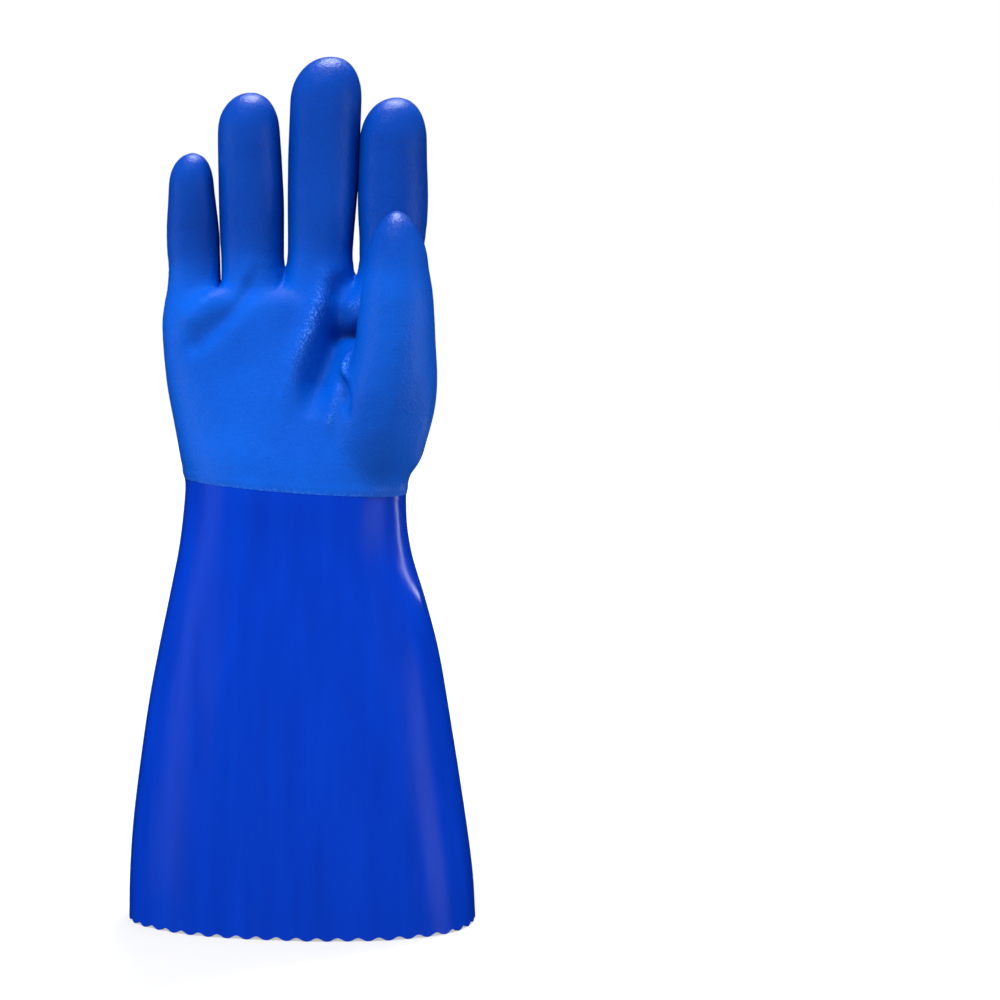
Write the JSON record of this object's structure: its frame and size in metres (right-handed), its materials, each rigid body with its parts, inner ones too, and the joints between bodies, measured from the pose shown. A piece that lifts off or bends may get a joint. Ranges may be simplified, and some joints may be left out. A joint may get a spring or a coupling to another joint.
{
  "type": "pvc coated work glove",
  "caption": "Right-hand work glove of blue PVC on a knitted cotton lining: rough hand with separate fingers and thumb, smooth flared gauntlet cuff with a scalloped hem.",
  "frame": {"origin": "middle of the plane that the hem stands on, under the centre of the bounding box", "axes": "+Z from the hem to the fingertips, -Y the side that the palm faces, +X the thumb's side"},
  "size_m": [0.1407, 0.0878, 0.3497],
  "materials": {
    "hand_coat": "rough sandy PVC coat, blue",
    "gauntlet_coat": "smooth glossy PVC coat, darker blue",
    "lining": "knitted cotton, cream"
  },
  "bodies": {
    "root": {"hand_coat": "hand_coat", "thumb_coat": "hand_coat", "little_finger_coat": "hand_coat", "gauntlet_coat": "gauntlet_coat", "lining": "lining"}
  },
  "joints": []
}
